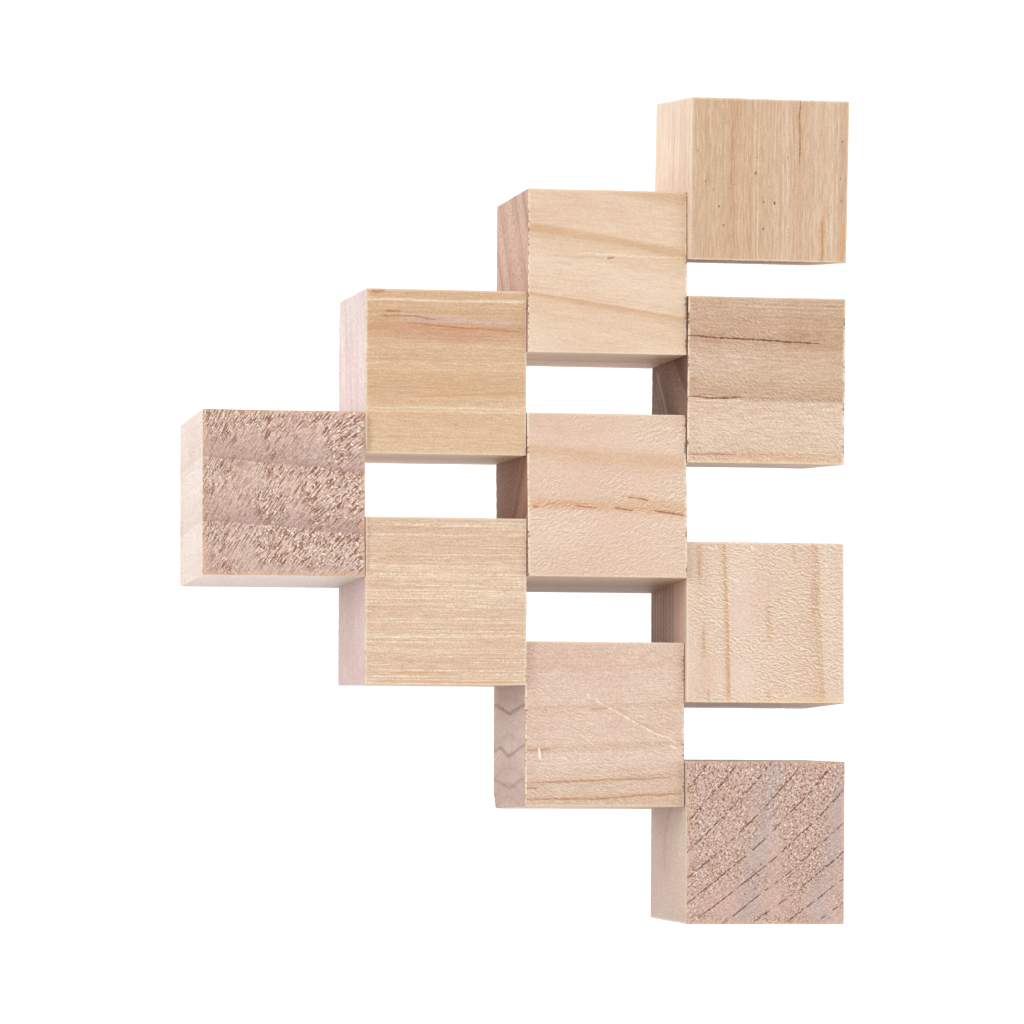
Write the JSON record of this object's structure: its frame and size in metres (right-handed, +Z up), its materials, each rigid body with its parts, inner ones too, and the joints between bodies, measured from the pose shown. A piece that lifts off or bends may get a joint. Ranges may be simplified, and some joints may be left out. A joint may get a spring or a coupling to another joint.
{
  "type": "wooden stacking cube puzzle",
  "caption": "Loose solid wooden cubes with eased edges, stacked by hand as a stepped pyramid: each cube bridges the gap between the cubes under it.",
  "frame": {"origin": "middle of the stack's bounding box, on the surface that it stands on", "axes": "+Z up, +X along the rows from left to right, the front of the stack faces -Y"},
  "size_m": [0.1286, 0.0286, 0.1],
  "materials": {
    "bottom_cube_left_wood": "bare softwood, rough-sawn end grain in front, smooth pale sides",
    "bottom_cube_mid_left_wood": "bare softwood, lightly sanded, upright orange growth lines",
    "bottom_cube_mid_right_wood": "bare softwood with level bands and fine drying cracks",
    "bottom_cube_right_wood": "bare tan softwood, fine straight upright grain with dark pores",
    "second_row_cube_left_wood": "bare softwood, fuzzy sawn face with a slanting scratch",
    "second_row_cube_middle_wood": "bare softwood, fuzzy sawn face with a cracked orange band",
    "second_row_cube_right_wood": "bare pale softwood, smooth, with slanting tan bands",
    "third_row_cube_left_wood": "bare pale softwood, fine straight light lines",
    "third_row_cube_right_wood": "bare golden softwood, straight grain with reddish streaks",
    "top_cube_wood": "bare softwood, rough-sawn end grain in front, very pale sides"
  },
  "bodies": {
    "bottom_cube_left": {"bottom_cube_left": "bottom_cube_left_wood"},
    "bottom_cube_mid_left": {"bottom_cube_mid_left": "bottom_cube_mid_left_wood"},
    "bottom_cube_mid_right": {"bottom_cube_mid_right": "bottom_cube_mid_right_wood"},
    "bottom_cube_right": {"bottom_cube_right": "bottom_cube_right_wood"},
    "second_row_cube_left": {"second_row_cube_left": "second_row_cube_left_wood"},
    "second_row_cube_middle": {"second_row_cube_middle": "second_row_cube_middle_wood"},
    "second_row_cube_right": {"second_row_cube_right": "second_row_cube_right_wood"},
    "third_row_cube_left": {"third_row_cube_left": "third_row_cube_left_wood"},
    "third_row_cube_right": {"third_row_cube_right": "third_row_cube_right_wood"},
    "top_cube": {"top_cube": "top_cube_wood"}
  },
  "joints": [
    {"name": "bottom_cube_left_pull", "type": "slide", "parent": "bottom_cube_mid_left", "child": "bottom_cube_left", "axis": [0, -1, 0], "range_m": [-0.03, 0.03]},
    {"name": "bottom_cube_mid_right_pull", "type": "slide", "parent": "bottom_cube_mid_left", "child": "bottom_cube_mid_right", "axis": [0, -1, 0], "range_m": [-0.03, 0.03]},
    {"name": "bottom_cube_right_pull", "type": "slide", "parent": "bottom_cube_mid_left", "child": "bottom_cube_right", "axis": [0, -1, 0], "range_m": [-0.03, 0.03]},
    {"name": "second_row_cube_left_pull", "type": "slide", "parent": "bottom_cube_mid_left", "child": "second_row_cube_left", "axis": [0, -1, 0], "range_m": [-0.03, 0.03]},
    {"name": "second_row_cube_middle_pull", "type": "slide", "parent": "bottom_cube_mid_left", "child": "second_row_cube_middle", "axis": [0, -1, 0], "range_m": [-0.03, 0.03]},
    {"name": "second_row_cube_right_pull", "type": "slide", "parent": "bottom_cube_mid_left", "child": "second_row_cube_right", "axis": [0, -1, 0], "range_m": [-0.03, 0.03]},
    {"name": "third_row_cube_left_pull", "type": "slide", "parent": "bottom_cube_mid_left", "child": "third_row_cube_left", "axis": [0, -1, 0], "range_m": [-0.03, 0.03]},
    {"name": "third_row_cube_right_pull", "type": "slide", "parent": "bottom_cube_mid_left", "child": "third_row_cube_right", "axis": [0, -1, 0], "range_m": [-0.03, 0.03]},
    {"name": "top_cube_lift", "type": "slide", "parent": "bottom_cube_mid_left", "child": "top_cube", "axis": [0, 0, 1], "range_m": [0, 0.03]}
  ]
}
